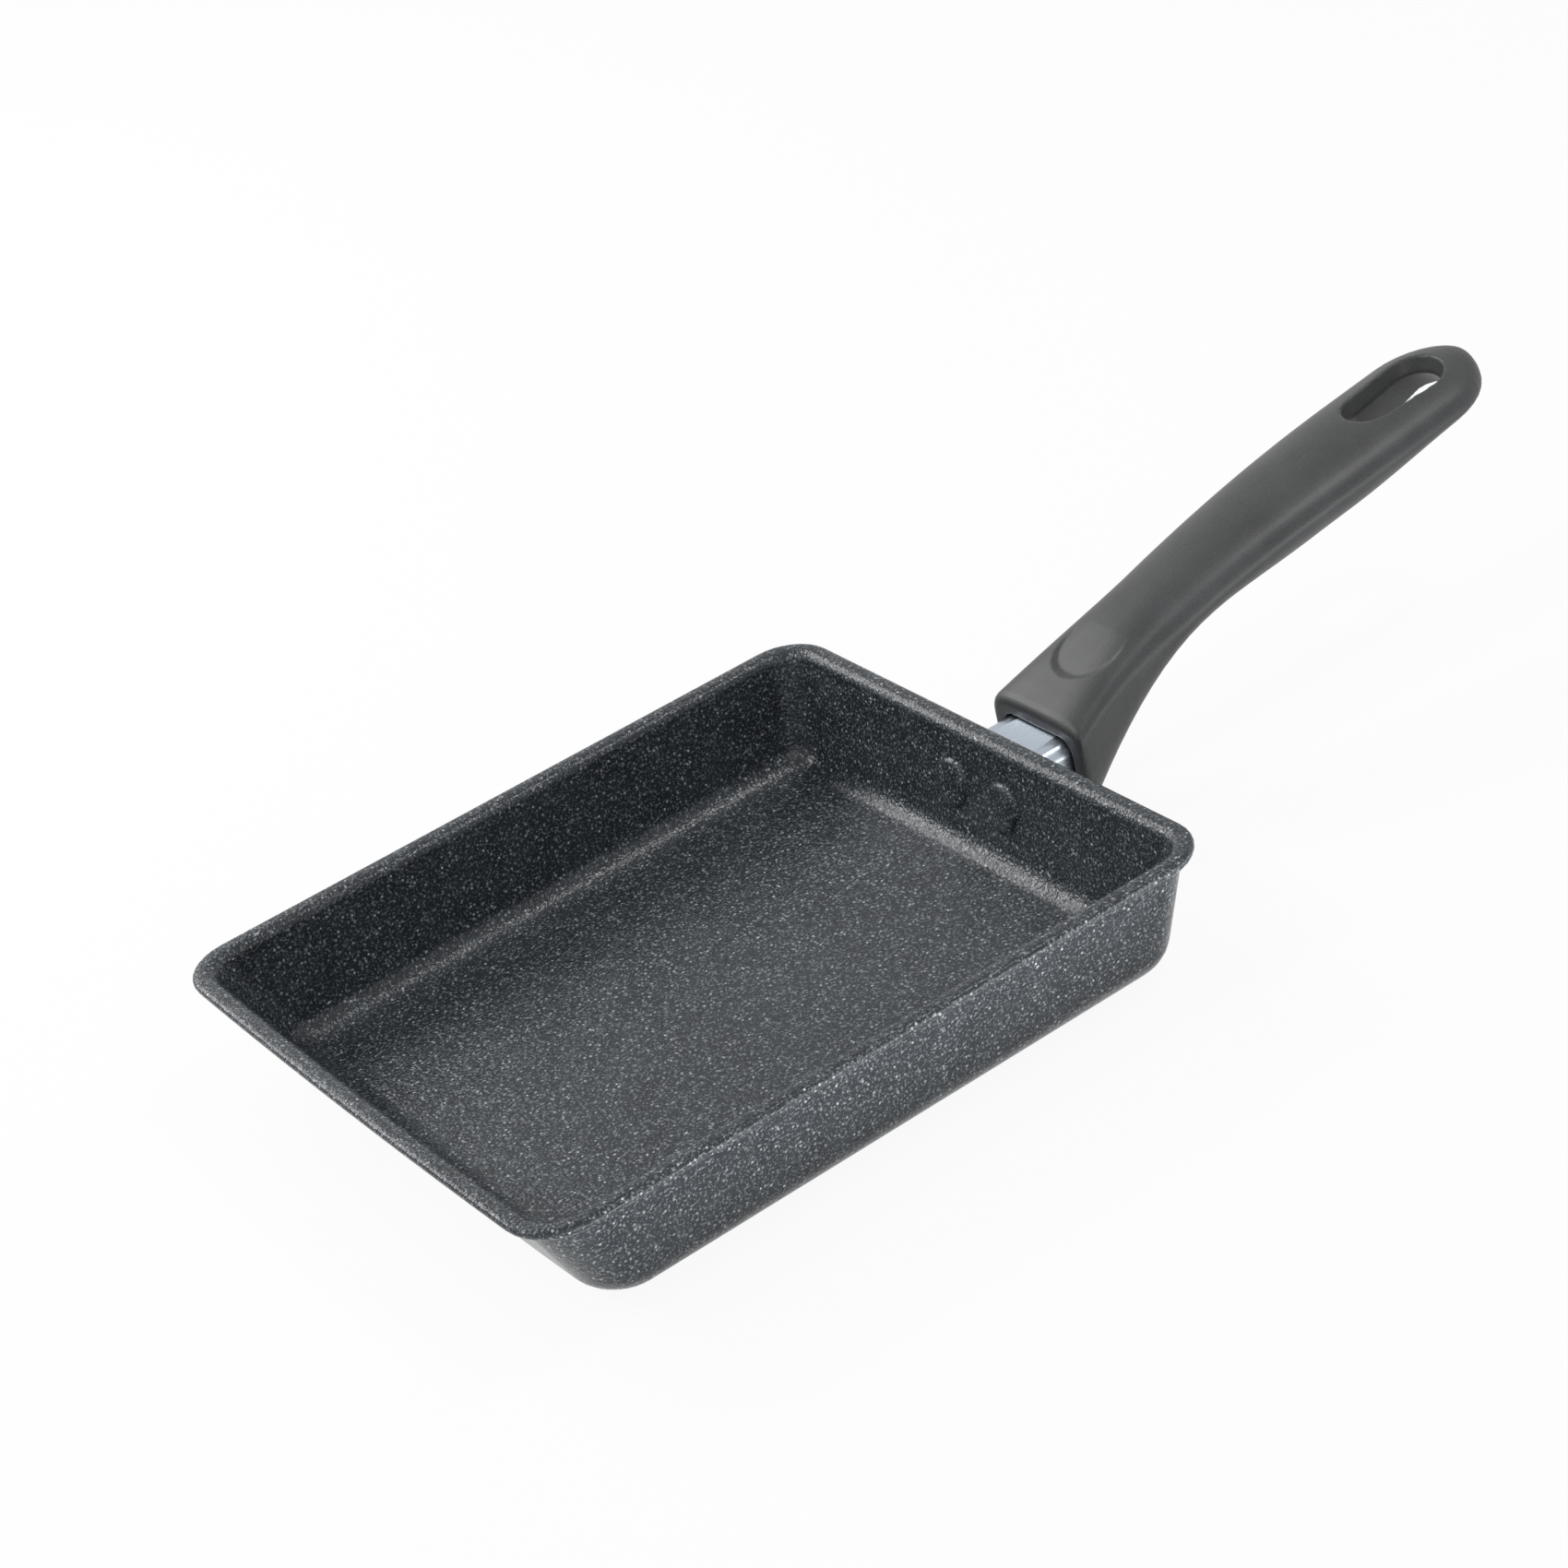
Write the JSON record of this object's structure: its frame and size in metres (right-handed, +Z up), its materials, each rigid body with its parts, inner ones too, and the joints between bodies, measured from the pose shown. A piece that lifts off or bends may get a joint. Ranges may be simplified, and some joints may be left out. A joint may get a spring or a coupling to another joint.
{
  "type": "rectangular frying pan",
  "caption": "Shallow rectangular omelette pan with leaning walls, a rolled lip, a riveted steel bracket and a rising moulded grip with a hanging hole.",
  "frame": {"origin": "middle of the rim's outline, dropped to the flat base that the pan rests on", "axes": "+X from the pan towards the grip, +Y towards the left side wall seen from the grip's tail end, +Z up"},
  "size_m": [0.317, 0.1494, 0.0589],
  "materials": {
    "coated_body": "charcoal non-stick coating with fine light specks, satin",
    "coated_rivet": "same charcoal coating over an aluminium rivet, satin",
    "bracket_steel": "bright stainless sheet",
    "grip_resin": "dark grey phenolic resin with a fine matte texture",
    "zinc_steel": "zinc-plated steel"
  },
  "bodies": {
    "root": {"pan_body": "coated_body", "rivet_left": "coated_rivet", "rivet_right": "coated_rivet", "handle_bracket": "bracket_steel", "handle_grip": "grip_resin", "handle_screw": "zinc_steel", "flat_washer": "zinc_steel", "spring_washer": "zinc_steel"}
  },
  "joints": []
}
